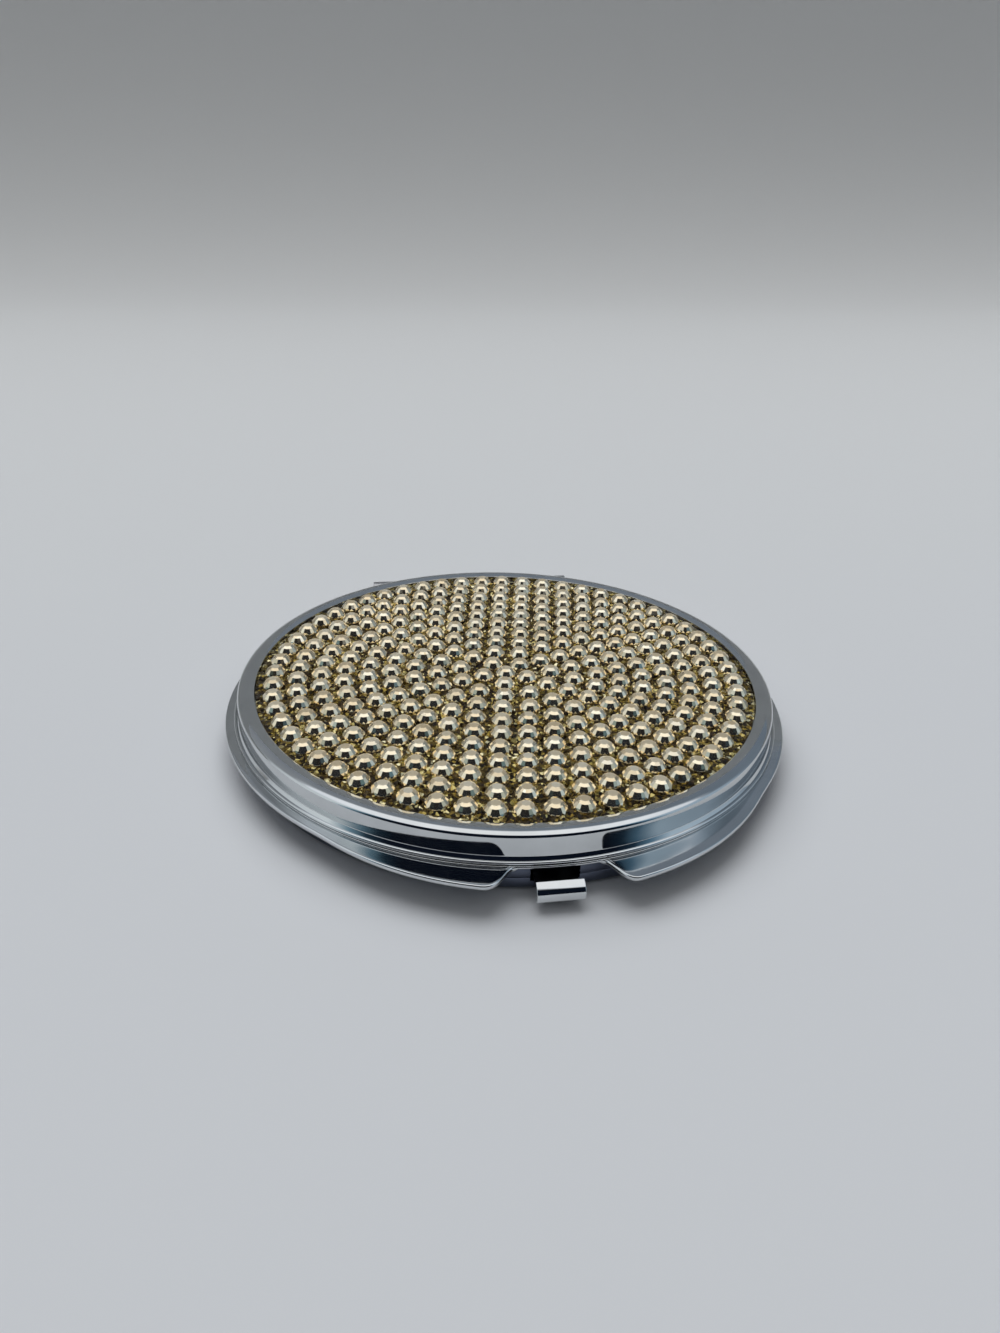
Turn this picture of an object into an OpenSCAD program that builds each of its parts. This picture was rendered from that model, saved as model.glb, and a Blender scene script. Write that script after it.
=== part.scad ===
// Round compact mirror, shut and lying on a table: a low pressed lid dressed with rings of
// set stones, a lower case whose rim flares into two ears beside a push button, a straight
// five-knuckle hinge at the back, and a plain and a magnifying mirror inside.
// Origin: centre of the flat underside. +Z is up, the button is at -Y, the hinge at +Y.

/* [Lid] */
// Outside diameter of the lid's wall
lid_d = 67.2; // [60:0.1:76]
// Width of the plain ring between the wall and the recess for the stones
annulus_w = 2.1; // [1.8:0.1:5]
// How far the plain ring falls from its outer edge to the recess
annulus_drop = 0.15; // [0.1:0.05:0.4]
// Radius of the lid's rounded top edge at its side
edge_r = 0.5; // [0.3:0.05:0.8]
// Radius of the flatter arc that leads from the rounded edge onto the plain ring
crown_r = 1.5; // [1:0.1:2]
// Depth of the recess that holds the stone-set panel
recess_h = 1.0; // [0.5:0.05:1.5]
// Thickness of the pressed sheet of both shells
sheet = 0.45; // [0.35:0.05:0.6]

/* [Rims] */
// How far the two rim beads stand out of the lid's wall
bead_out = 0.6; // [0.5:0.1:1.2]
// Radius of each rolled bead
bead_r = 0.2; // [0.15:0.05:0.25]
// Height of the steep flare between the lid's wall and its bead
flare_h = 0.4; // [0.2:0.05:0.6]
// Gap between the shut rims
seat_gap = 0.1; // [0.05:0.05:0.2]

/* [Lower case] */
// How much smaller in radius the lower wall is than the lid's
base_inset = 0.2; // [0:0.05:0.5]
// Radius of the rounded bottom corner
corner_r = 1.0; // [0.5:0.1:1.2]
// Height of the seam between the bottom pan and the rim ring
seam_h = 1.8; // [1.5:0.1:2.2]
// How far the pan's inner wall reaches up inside the rim ring
nest_h = 1.1; // [0.6:0.1:1.2]
// How far the skirt stands out of the lower wall
skirt_out = 1.9; // [1.8:0.1:3]
// Drop from the rim to the skirt's flat top
skirt_drop = 0.05; // [0.03:0.01:0.08]
// Radius of the rolled lip of the skirt and the ears, which is also their thickness
lip_r = 0.3; // [0.2:0.05:0.35]

/* [Ears] */
// How far the circle of the ears stands out of the lower wall at the front
ear_out = 4.4; // [3.5:0.1:6]
// How far the circle of the ears is set towards the front
ear_shift = 6.9; // [5:0.1:9]
// How much lower the ears lie than the skirt
ear_drop = 0.05; // [0.02:0.01:0.1]
// Width of an ear's sheet, which reaches under the bead
ear_w = 4.3; // [4.2:0.1:5]
// Distance between the ears at the bead
notch_root_w = 8.8; // [8.5:0.1:12]
// Distance between the ears at their edge
notch_w = 15; // [14:0.1:20]
// Thickness of the lip along the sides of the gap between the ears
side_lip_t = 0.4; // [0.3:0.05:0.6]

/* [Stones] */
// Diameter of a stone
stone_d = 2.8; // [2:0.1:4]
// Height of a stone
stone_h = 1.2; // [0.8:0.1:2]
// Height of a stone's straight girdle
girdle_h = 0.3; // [0.1:0.05:0.5]
// Diameter of a stone's flat table
table_d = 1.3; // [0.8:0.1:1.9]
// Distance between the rings of stones
ring_pitch = 2.925; // [2.9:0.025:4.2]
// Least distance between neighbours in a ring
stone_pitch = 3.1; // [3:0.02:4.5]
// Thickness of the glitter resin that the stones are set on
resin_t = 0.6; // [0.3:0.05:0.7]
// Thickness of the adhesive sheet under the resin
adhesive_t = 0.1; // [0.05:0.05:0.2]

/* [Mirrors] */
// Distance from the edge of both mirrors to the lid's wall, which is the latch's room
mirror_margin = 5.3; // [4.8:0.1:10]
// Thickness of the plain mirror in the lid
lid_glass_t = 1.3; // [0.8:0.05:2]
// Edge thickness of the magnifying mirror in the lower case
base_glass_t = 1.05; // [1:0.05:2]
// Depth of the magnifying mirror's hollow face
sag = 0.35; // [0.1:0.05:0.6]
// Thickness of the adhesive pad behind the plain mirror
lid_pad_t = 0.15; // [0.1:0.05:0.4]
// Thickness of the frame ring over a mirror's edge
bezel_t = 0.3; // [0.2:0.05:0.5]
// How far a frame ring laps over its mirror
bezel_lap = 0.8; // [0.4:0.1:2]
// How far the lower frame ring lies below the rim
base_sink = 0.15; // [0.05:0.05:0.4]
// How far the lid's frame ring lies behind its rim
lid_sink = 0.1; // [0.05:0.05:0.4]

/* [Hinge] */
// Width of the hinge
hinge_w = 31; // [20:0.5:32]
// Number of knuckles
knuckle_n = 5; // [3:2:7]
// Outside radius of a knuckle
knuckle_r = 1.2; // [1:0.05:1.4]
// Diameter of the hinge pin
pin_d = 1.2; // [0.8:0.1:1.4]
// Radial running clearance of the lid's knuckles on the pin
pin_clear = 0.04; // [0.02:0.01:0.08]
// Distance from the lid's wall back to the hinge axis
hinge_out = 1.9; // [1.9:0.1:3]
// Height of the hinge axis over the middle of the rim gap
hinge_lift = 0.05; // [0:0.05:0.3]
// Gap between knuckles and to what turns beside them
knuckle_gap = 0.2; // [0.1:0.05:0.4]

/* [Button and latch] */
// Width of the button's bar
bar_w = 5; // [4.5:0.1:6]
// Height of the button's bar
bar_h = 1.9; // [1.6:0.1:2]
// Depth of the button's bar, front to back
bar_t = 1.3; // [1.2:0.1:2.2]
// Radius of the bar's upper front edge
bar_r = 0.8; // [0.3:0.05:1]
// Radius of the bar's lower front edge
bar_foot_r = 0.3; // [0.2:0.05:0.5]
// Distance from the lower wall to the back of the bar at rest
bar_out = 2.1; // [1.8:0.1:2.5]
// Travel of the button
travel = 1.1; // [0.8:0.05:1.3]
// Width of the button's neck through the wall
neck_w = 4.5; // [3:0.1:5]
// Width of the slide plate behind the wall
slide_w = 8; // [7:0.1:10]
// Thickness of the slide plate
slide_t = 0.55; // [0.4:0.05:0.7]
// Width of the lid's catch
catch_w = 4; // [3:0.1:4.4]
// Thickness of the catch's stem
catch_t = 0.6; // [0.4:0.05:0.8]
// How far the catch's nose reaches in from its stem
nose_out = 0.7; // [0.5:0.05:1]
// Thickness of the nose
nose_t = 0.45; // [0.3:0.05:0.6]
// Overlap of the nose and the latch bar
grip = 0.5; // [0.3:0.05:0.6]
// Thickness of the slide's guide channel
guide_t = 0.3; // [0.2:0.05:0.4]

/* [Button spring] */
// Diameter of the spring wire
wire_d = 0.25; // [0.15:0.01:0.3]
// Mean diameter of the spring's coils
coil_d = 1.0; // [0.8:0.05:1.05]
// Length of the fitted spring at rest
spring_l = 3; // [2.6:0.1:4]
// Number of coils
turns = 5; // [3:1:7]

/* [Hidden] */
$fn = 128;

// Steps of an arc in an outline, sides of the spring wire and its rings in one turn
arc_n = 8;
wire_n = 8;
turn_n = 12;

// Small clearances: between nested pieces of one body, and at the slide
fit = 0.05;
slide_clear = 0.1;
// Clearance over the slide, under the nose and round the catch
head_gap = 0.3;
nose_gap = 0.2;
catch_gap = 0.4;
// Play between the slide's shoulders and the wall, and between the mirror and the nose
shoulder_gap = 0.15;
mirror_gap = 0.3;
// One overrun for all cuts
over = 1;

// Radii of the walls
lid_r = lid_d / 2;
lid_in = lid_r - sheet;
base_r = lid_r - base_inset;
rim_in = base_r - sheet;
nest_out = rim_in - fit;
nest_in = nest_out - sheet;
bead_c = lid_r + bead_out - bead_r;
skirt_r = base_r + skirt_out;
inlay_r = lid_r - annulus_w;
mirror_r = lid_r - mirror_margin;

// Heights of the lower case, from the table up: sheet, guide, nose, slide, mirror, frame
guide_z = sheet;
nose_z = guide_z + guide_t + nose_gap;
slide_z = nose_z + nose_t + slide_clear;
base_mirror_z = slide_z + slide_t + head_gap;
base_bezel_z = base_mirror_z + base_glass_t;
base_z = base_bezel_z + bezel_t + base_sink;

// Heights of the lid, from its rim up
lid_z = base_z + seat_gap;
lid_bezel_z = lid_z + lid_sink;
lid_mirror_z = lid_bezel_z + bezel_t;
lid_pad_z = lid_mirror_z + lid_glass_t;
lid_under = lid_pad_z + lid_pad_t;
recess_z = lid_under + sheet;
panel_z = recess_z + adhesive_t;
stone_z = panel_z + resin_t;
annulus_z = recess_z + recess_h;
lid_top = annulus_z + annulus_drop;

// Hinge axis, leaf planes and knuckles
hinge_y = lid_r + hinge_out;
hinge_z = base_z + seat_gap / 2 + hinge_lift;
lid_web_z = hinge_z + knuckle_r - sheet;
base_web_z = hinge_z - knuckle_r;
knuckle_pitch = hinge_w / knuckle_n;
leaf_edge_y = hinge_y - knuckle_r - knuckle_gap;
pin_r = pin_d / 2;

// Frame rings: legs beside the mirror and near the wall, leg thickness, edge rounding
leg_t = 0.5;
inner_leg_r = mirror_r + slide_clear;
lid_leg_r = inlay_r - leg_t;
base_leg_r = nest_in - corner_r / 2 - fit;
bezel_round_r = bezel_t / 2;

// Places of the latch, as distances in front of the centre
nose_tip = mirror_r + mirror_gap;
stem_back = nose_tip + nose_out;
stem_front = stem_back + catch_t;
latch_edge = nose_tip + grip;
slot_front = stem_front + travel + nose_gap;
slide_front = sqrt(nest_in ^ 2 - (slide_w / 2) ^ 2) - shoulder_gap;
slide_tail_w = 3;
slide_back = latch_edge - slide_tail_w - head_gap;
spring_y = slide_back - spring_l;
guide_half = slide_w / 2 + slide_clear + guide_t;
flange_w = 0.6;
guide_front = slide_front - flange_w;
ledge_w = 0.6;
foot_t = 0.45;
foot_w = 6;
foot_l = 1.6;
tail_t = 0.5;
peg_r = 0.22;
peg_l = 0.8;
spring_z = guide_z + guide_t + (base_mirror_z - guide_z - guide_t) / 2;

// Button bar, slot in the wall and skirt
bar_z = slide_z - head_gap;
bar_back = base_r + bar_out;
slot_w = bar_w + 2 * slide_clear;
slot_z = slide_z - shoulder_gap;
slot_top = base_z - 2 * bead_r - slide_clear;
slot_r = 0.4;
seam_r = 0.08;

// Heights of the middle of the rolled lip, the skirt's and the ears', and of the rim's underside
skirt_z = base_z - skirt_drop - lip_r;
bead_under = min(skirt_z, base_z - 2 * bead_r);
ear_z = skirt_z - ear_drop;

// Circle of the ears
ear_r = base_r + ear_out - ear_shift;

// Points of an arc about c, from angle a to angle b
function arc(c, r, a, b) =
    [for (i = [0:arc_n]) let (t = a + (b - a) * i / arc_n) c + r * [cos(t), sin(t)]];

// Points of a rolled lip about c, from its top round to its inner side
function roll(c) =
    [for (i = [0:2 * arc_n]) let (t = 90 - 270 * i / (2 * arc_n)) c + lip_r * [cos(t), sin(t)]];

// The same points from the last to the first
function turned(list) = [for (i = [len(list) - 1:-1:0]) list[i]];

// The same points moved by v
function moved(list, v) = [for (p = list) p + v];

// A ring of square section between two radii
module ring(r_in, r_out, z, h) {
    translate([0, 0, z])
        difference() {
            cylinder(r = r_out, h = h);
            translate([0, 0, -over]) cylinder(r = r_in, h = h + 2 * over);
        }
}

// A block that is centred on the Y axis, between y0 and y1 and from z0 up to z1
module block(w, y0, y1, z0, z1) {
    translate([-w / 2, y0, z0]) cube([w, y1 - y0, z1 - z0]);
}

// What is cut away outside a wall for the knuckles to turn in
module hinge_room(r, z0, z1) {
    difference() {
        block(hinge_w + 2 * knuckle_gap, 0, hinge_y + over, z0, z1);
        translate([0, 0, z0 - over]) cylinder(r = r, h = z1 - z0 + 2 * over);
    }
}

// The slit in a wall that a hinge leaf passes through
module leaf_slit(z) {
    block(hinge_w + 2 * fit, 0, hinge_y + over, z - fit, z + sheet + fit);
}

// Lid pressed from one sheet: recess, falling ring, round edge, wall and rolled bead
module lid_shell() {
    // The two arcs of the edge meet at this angle, one about side and one about crown
    turn = 60;
    side = [lid_r - edge_r, lid_top - crown_r + (crown_r - edge_r) * sin(turn)];
    crown = side - (crown_r - edge_r) * [cos(turn), sin(turn)];
    // Slope of the ring, which is tangent to the crown's arc
    to_crown = crown - [inlay_r, annulus_z];
    fall = atan2(to_crown.y, to_crown.x) + asin(min(1, crown_r / norm(to_crown)));
    // The flare runs out on the bead at this angle about the bead's middle
    bead_turn = 135;
    bead_mid = [bead_c, lid_z + bead_r];
    outline = concat(
        [[0, recess_z], [inlay_r, recess_z], [inlay_r, annulus_z]],
        arc(crown, crown_r, 90 + fall, turn),
        arc(side, edge_r, turn * (1 - 1 / arc_n), 0),
        [[lid_r, bead_mid.y + bead_r * sin(bead_turn) + flare_h]],
        arc(bead_mid, bead_r, bead_turn, -90),
        [[lid_in, lid_z], [lid_in, side.y], [inlay_r + sheet, annulus_z - sheet],
            [inlay_r + sheet, lid_under], [0, lid_under]]);
    color("silver")
        difference() {
            rotate_extrude() polygon(outline);
            hinge_room(lid_r, lid_z - over, lid_web_z + sheet + fit);
            leaf_slit(lid_web_z);
        }
}

// Double-sided adhesive sheet on the floor of the recess
module inlay_adhesive() {
    color("beige")
        translate([0, 0, recess_z]) cylinder(r = inlay_r - slide_clear, h = adhesive_t);
}

// Disc of clear resin full of gold glitter
module glitter_panel() {
    color("darkgoldenrod")
        translate([0, 0, panel_z]) cylinder(r = inlay_r - slide_clear, h = resin_t);
}

// One flat-backed stone: straight girdle, two steps of crown and a flat table
module stone() {
    crown_h = stone_h - girdle_h;
    // The upper step starts at these shares of the crown's height and of its fall
    step_h_share = 0.6;
    step_r_share = 0.4;
    step_r = stone_d / 2 - (stone_d - table_d) / 2 * step_r_share;
    rotate_extrude($fn = 24)
        polygon([[0, 0], [stone_d / 2, 0], [stone_d / 2, girdle_h],
            [step_r, girdle_h + crown_h * step_h_share], [table_d / 2, stone_h], [0, stone_h]]);
}

// Stones in rings round a middle one. Each ring holds as many as its length takes, and
// the rings start in one line at the front, a little to the left of the button.
module rhinestones() {
    ring_start = -101;
    ring_n = floor((inlay_r - mirror_gap - stone_d / 2) / ring_pitch);
    color("wheat")
        translate([0, 0, stone_z]) {
            stone();
            for (k = [1:ring_n]) {
                n = floor(2 * PI * k * ring_pitch / stone_pitch);
                for (i = [0:n - 1])
                    rotate(ring_start + 360 * i / n) translate([k * ring_pitch, 0, 0]) stone();
            }
        }
}

// Adhesive pad behind the plain mirror
module lid_mirror_pad() {
    color("white")
        translate([0, 0, lid_pad_z]) cylinder(r = mirror_r - bezel_lap, h = lid_pad_t);
}

// Plain glass mirror
module lid_mirror() {
    color("lightsteelblue")
        translate([0, 0, lid_mirror_z]) cylinder(r = mirror_r, h = lid_glass_t);
}

// The window in a frame ring that the catch passes through
module catch_window(z0, z1) {
    block(catch_w + 2 * catch_gap, -stem_front - catch_gap, -mirror_r, z0, z1);
}

// Section of a frame ring's flange, with its two visible edges rounded. It is drawn with
// the visible face up and the flange's seat at z = 0
function bezel_outline(r) = concat(
    [[r, 0]],
    arc([r - bezel_round_r, bezel_t - bezel_round_r], bezel_round_r, 0, 90),
    arc([mirror_r - bezel_lap + bezel_round_r, bezel_t - bezel_round_r], bezel_round_r, 90, 180),
    [[mirror_r - bezel_lap, 0]]);

// Frame ring of the plain mirror, standing on the underside of the lid's recess
module lid_bezel() {
    color("gainsboro")
        difference() {
            union() {
                translate([0, 0, lid_mirror_z]) mirror([0, 0, 1])
                    rotate_extrude() polygon(bezel_outline(lid_in - fit));
                ring(inner_leg_r, inner_leg_r + leg_t, lid_mirror_z, lid_glass_t - slide_clear);
                ring(lid_leg_r - leg_t, lid_leg_r, lid_mirror_z, lid_under - lid_mirror_z);
            }
            catch_window(lid_z - over, lid_under - foot_t - slide_clear);
            block(foot_w + 2 * catch_gap, -stem_back - foot_l - catch_gap, -mirror_r,
                lid_under - foot_t - slide_clear, lid_under + over);
        }
}

// Hinge leaf: flange inside the wall, web through its slit and rolled knuckles. The count
// of its own knuckles starts at first, and flange_end is where the flange stops
module hinge_leaf(first, web_z, flange_out, flange_end, bore_r) {
    flange_in = flange_out - sheet;
    flange_z0 = min(web_z, flange_end);
    flange_z1 = max(web_z + sheet, flange_end);
    difference() {
        union() {
            difference() {
                block(hinge_w, 0, leaf_edge_y, web_z, web_z + sheet);
                translate([0, 0, web_z - over]) cylinder(r = flange_in, h = sheet + 2 * over);
            }
            intersection() {
                ring(flange_in, flange_out, flange_z0, flange_z1 - flange_z0);
                block(hinge_w, 0, hinge_y, flange_z0, flange_z1);
            }
            for (i = [first:2:knuckle_n - 1])
                translate([-hinge_w / 2 + i * knuckle_pitch + knuckle_gap / 2, 0, 0]) {
                    translate([0, hinge_y, hinge_z]) rotate([0, 90, 0])
                        cylinder(r = knuckle_r, h = knuckle_pitch - knuckle_gap, $fn = 48);
                    translate([0, leaf_edge_y - sheet, web_z])
                        cube([knuckle_pitch - knuckle_gap, hinge_y - leaf_edge_y + sheet, sheet]);
                }
        }
        translate([-hinge_w / 2 - over, hinge_y, hinge_z]) rotate([0, 90, 0])
            cylinder(r = bore_r, h = hinge_w + 2 * over, $fn = 48);
    }
}

module lid_hinge_leaf() {
    color("lightgray")
        hinge_leaf(1, lid_web_z, lid_in - fit, annulus_z - sheet - slide_clear,
            pin_r + pin_clear);
}

module base_hinge_leaf() {
    color("lightgray")
        hinge_leaf(0, base_web_z, rim_in - fit, seam_h + slide_clear, pin_r + pin_clear / 2);
}

// Headless pin through all the knuckles, fixed in the lower case's
module hinge_pin() {
    color("dimgray")
        translate([-hinge_w / 2 + knuckle_gap / 2, hinge_y, hinge_z]) rotate([0, 90, 0])
            cylinder(r = pin_r, h = hinge_w - knuckle_gap, $fn = 48);
}

// Catch: a foot on the underside of the recess, a stem and a nose that hooks inwards
module lid_catch() {
    color("lightgray") {
        block(foot_w, -stem_back - foot_l + catch_t, -stem_back + catch_t,
            lid_under - foot_t, lid_under);
        block(catch_w, -stem_front, -stem_back, nose_z, lid_under);
        block(catch_w, -stem_front, -nose_tip, nose_z, nose_z + nose_t);
    }
}

// Bottom pan: flat floor, round corner, low outer wall and a nested inner wall
module base_pan() {
    outline = concat(
        [[0, 0]],
        arc([base_r - corner_r, corner_r], corner_r, -90, 0),
        [[base_r, seam_h - seam_r], [base_r - seam_r, seam_h], [nest_out, seam_h],
            [nest_out, seam_h + nest_h], [nest_in, seam_h + nest_h]],
        arc([nest_in - corner_r / 2, sheet + corner_r / 2], corner_r / 2, 0, -90),
        [[0, sheet]]);
    color("silver")
        difference() {
            rotate_extrude() polygon(outline);
            block(slot_w, -base_r - over, -nest_in + over, slot_z, base_z);
            difference() {
                block(hinge_w + 2 * knuckle_gap, 0, base_r, seam_h, base_z);
                translate([0, 0, seam_h - over]) cylinder(r = nest_in - over, h = base_z);
            }
        }
}

// Section of the rim ring: wall, rolled bead and flat skirt with its rolled lip, hollow
// underneath. The skirt leaves the bead at the angle where its top meets the bead's curve
function rim_outline() =
    concat(
        [[rim_in, seam_h], [rim_in, base_z]],
        arc([bead_c, base_z - bead_r], bead_r, 90, -asin((skirt_drop - bead_r) / bead_r)),
        roll([skirt_r - lip_r, skirt_z]),
        [[bead_c, skirt_z], [bead_c - bead_r, bead_under], [base_r, bead_under],
            [base_r, seam_h + seam_r], [base_r - seam_r, seam_h]]);

// Sheet of the ears with its rolled lip: a ring about a centre set forward, of which what
// lies outside the bead is kept
module ears() {
    difference() {
        translate([0, -ear_shift, 0])
            rotate_extrude()
                polygon(concat([[ear_r - ear_w, ear_z + lip_r]],
                    roll([ear_r - lip_r, ear_z]), [[ear_r - ear_w, ear_z]]));
        translate([0, 0, -over]) cylinder(r = bead_c, h = lid_top + 2 * over);
    }
}

// Outline of the gap between the ears: each side sweeps from the bead out to the ear's edge
function notch_side(s) =
    let (
        y0 = sqrt((bead_c + bead_r) ^ 2 - (notch_root_w / 2) ^ 2),
        y1 = ear_shift + sqrt(ear_r ^ 2 - (notch_w / 2) ^ 2)
    )
    [for (i = [0:2 * arc_n]) let (t = i / (2 * arc_n), f = t * t * (3 - 2 * t))
        [s * (notch_root_w / 2 + (notch_w - notch_root_w) / 2 * t), -y0 - (y1 - y0) * f]];

module notch(r, z0, z1) {
    front = ear_shift + ear_r + over;
    difference() {
        translate([0, 0, z0]) linear_extrude(height = z1 - z0)
            polygon(concat([[notch_root_w / 2, 0]], notch_side(1),
                [[notch_w / 2, -front], [-notch_w / 2, -front]],
                turned(notch_side(-1)), [[-notch_root_w / 2, 0]]));
        translate([0, 0, z0 - over]) cylinder(r = r, h = z1 - z0 + 2 * over);
    }
}

// Lip along both sides of the gap, from the bead out into the ears' rolled lip
module notch_lips() {
    difference() {
        intersection() {
            for (s = [-1, 1])
                translate([0, 0, ear_z - lip_r]) linear_extrude(height = 2 * lip_r)
                    polygon(concat(notch_side(s),
                        turned(moved(notch_side(s), side_lip_t * [s, 1 / 2]))));
            translate([0, -ear_shift, 0]) cylinder(r = ear_r - lip_r, h = lid_top);
        }
        translate([0, 0, -over]) cylinder(r = bead_c, h = lid_top + 2 * over);
    }
}

// Slot for the button, open at the seam and with round upper corners
module button_slot() {
    block(slot_w, -base_r - over, -nest_in + over, seam_h - over, slot_top - slot_r);
    block(slot_w - 2 * slot_r, -base_r - over, -nest_in + over, seam_h, slot_top);
    for (x = [-1, 1])
        translate([x * (slot_w / 2 - slot_r), -base_r - over, slot_top - slot_r])
            rotate([-90, 0, 0]) cylinder(r = slot_r, h = base_r - nest_in + 2 * over, $fn = 32);
}

// Rim ring of the lower case, with its ears, the gap between them and the button's slot
module base_rim() {
    color("silver") {
        difference() {
            union() {
                rotate_extrude() polygon(rim_outline());
                ears();
            }
            notch(base_r, -over, base_z - 2 * bead_r);
            notch(bead_c + bead_r, base_z - 2 * bead_r - fit, base_z + over);
            button_slot();
            hinge_room(base_r, seam_h - over, base_z + over);
            leaf_slit(base_web_z);
        }
        notch_lips();
    }
}

// Foam pad under the magnifying mirror, cut away round the latch
module base_mirror_pad() {
    color("whitesmoke")
        difference() {
            translate([0, 0, sheet]) cylinder(r = mirror_r, h = base_mirror_z - sheet);
            block(2 * (guide_half + flange_w + slide_clear), -base_r, -spring_y + guide_t
                + catch_gap, 0, base_mirror_z + over);
        }
}

// Magnifying glass mirror with a hollow face
module base_mirror() {
    face_r = mirror_r - bezel_lap;
    face = [for (i = [0:arc_n]) let (s = i / arc_n)
        [face_r * s, base_bezel_z - sag * (1 - s ^ 2)]];
    color("lightsteelblue")
        rotate_extrude()
            polygon(concat([[0, base_mirror_z]], face,
                [[mirror_r, base_bezel_z], [mirror_r, base_mirror_z]]));
}

// Frame ring of the magnifying mirror, standing on the pan's floor
module base_bezel() {
    color("gainsboro")
        difference() {
            union() {
                translate([0, 0, base_bezel_z]) rotate_extrude()
                    polygon(bezel_outline(rim_in - fit));
                ring(inner_leg_r, inner_leg_r + leg_t, base_mirror_z + slide_clear,
                    base_glass_t - slide_clear);
                ring(base_leg_r - leg_t, base_leg_r, sheet, base_bezel_z - sheet);
            }
            catch_window(sheet, base_z);
            block(2 * (guide_half + flange_w + slide_clear), -base_r, 0, 0,
                slide_z + slide_t + shoulder_gap);
        }
}

// Guide channel: a floor plate with a window under the nose, two ledges and an end wall
module button_guide() {
    wall_top = slide_z + slide_t + slide_clear;
    color("lightgray") {
        difference() {
            block(2 * (guide_half + flange_w), -guide_front, -spring_y + guide_t,
                guide_z, guide_z + guide_t);
            block(catch_w + 2 * catch_gap, -stem_front - catch_gap, -nose_tip + catch_gap,
                0, nose_z);
        }
        for (x = [0, 1]) mirror([x, 0, 0]) {
            translate([slide_w / 2 - ledge_w, -guide_front, guide_z])
                cube([guide_half - slide_w / 2 + ledge_w, guide_front - spring_y + guide_t,
                    slide_z - fit - guide_z]);
            translate([slide_w / 2 + slide_clear, -guide_front, guide_z])
                cube([guide_t, guide_front - spring_y + guide_t, wall_top - guide_z]);
        }
        block(2 * guide_half, -spring_y, -spring_y + guide_t, guide_z, wall_top);
        translate([0, -spring_y, spring_z]) rotate([90, 0, 0])
            cylinder(r = peg_r, h = peg_l, $fn = 24);
    }
}

// Section of the button's bar, front to back and up, with round front edges
function bar_outline() = concat(
    [[-bar_back, bar_z]],
    [[-bar_back, bar_z + bar_h]],
    arc([-bar_back - bar_t + bar_r, bar_z + bar_h - bar_r], bar_r, 90, 180),
    arc([-bar_back - bar_t + bar_foot_r, bar_z + bar_foot_r], bar_foot_r, 180, 270));

// Push button: the bar outside, its neck through the wall, and the slide plate whose
// window's inner edge is the latch bar
module push_button() {
    color("silver") {
        translate([bar_w / 2, 0, 0]) rotate([90, 0, -90]) mirror([1, 0, 0])
            linear_extrude(height = bar_w) polygon(bar_outline());
        block(neck_w, -bar_back - sheet, -slot_front, slide_z, slide_z + slide_t);
        difference() {
            block(slide_w, -slide_front, -slide_back, slide_z, slide_z + slide_t);
            block(catch_w + 2 * nose_gap, -slot_front, -latch_edge, 0, base_z);
        }
        block(slide_tail_w, -slide_back - tail_t, -slide_back, nose_z, slide_z + slide_t);
        translate([0, -slide_back + peg_l, spring_z]) rotate([90, 0, 0])
            cylinder(r = peg_r, h = peg_l + tail_t / 2, $fn = 24);
    }
}

// Coil spring between the slide's tail and the guide's end wall, as one swept tube
module button_spring() {
    rings = turns * turn_n;
    length = spring_l - wire_d;
    run = 2 * PI * turns * coil_d / 2;
    climb = atan2(length, run);
    points = [for (k = [0:rings], j = [0:wire_n - 1])
        let (
            a = 360 * turns * k / rings,
            b = 360 * j / wire_n,
            out = [cos(a), 0, sin(a)],
            side = [sin(a) * sin(climb), cos(climb), -cos(a) * sin(climb)],
            middle = coil_d / 2 * out + [0, wire_d / 2 + length * k / rings, 0]
        )
        middle + wire_d / 2 * (cos(b) * out + sin(b) * side)];
    sides = [for (k = [0:rings - 1], j = [0:wire_n - 1])
        let (p = k * wire_n + j, q = k * wire_n + (j + 1) % wire_n)
        each [[p, p + wire_n, q + wire_n], [p, q + wire_n, q]]];
    first_cap = [for (j = [0:wire_n - 1]) j];
    last_cap = [for (j = [wire_n - 1:-1:0]) rings * wire_n + j];
    color("gray")
        translate([0, -slide_back, spring_z])
            polyhedron(points, concat(sides, [first_cap, last_cap]));
}

lid_shell();
inlay_adhesive();
glitter_panel();
rhinestones();
lid_mirror_pad();
lid_mirror();
lid_bezel();
lid_hinge_leaf();
lid_catch();
base_pan();
base_rim();
base_mirror_pad();
base_mirror();
base_bezel();
base_hinge_leaf();
hinge_pin();
button_guide();
push_button();
button_spring();
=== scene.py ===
"""The compact mirror's looks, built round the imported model."""
import math
import random

import bmesh
import bpy
from mathutils import Matrix, Vector


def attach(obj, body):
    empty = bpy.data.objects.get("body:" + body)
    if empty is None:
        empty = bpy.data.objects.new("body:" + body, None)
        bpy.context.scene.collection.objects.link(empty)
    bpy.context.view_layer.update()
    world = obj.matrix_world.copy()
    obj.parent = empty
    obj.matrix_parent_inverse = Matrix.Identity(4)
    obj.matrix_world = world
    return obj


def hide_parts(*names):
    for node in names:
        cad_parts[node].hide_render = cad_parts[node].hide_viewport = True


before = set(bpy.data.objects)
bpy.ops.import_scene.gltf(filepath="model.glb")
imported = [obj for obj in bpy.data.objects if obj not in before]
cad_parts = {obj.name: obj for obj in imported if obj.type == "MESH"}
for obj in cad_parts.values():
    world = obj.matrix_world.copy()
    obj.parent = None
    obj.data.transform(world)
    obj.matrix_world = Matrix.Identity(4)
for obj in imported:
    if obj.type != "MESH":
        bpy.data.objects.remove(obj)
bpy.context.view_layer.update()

MM = 0.001
COLUMNS = 480
# Mesh tools: welding distances in metres, and angles in degrees from which edges stay
# sharp and from which they are bevelled
WELD, SLIVER, SHARP_FROM, BEVEL_FROM = 4e-7, 1e-7, 32, 40

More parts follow.
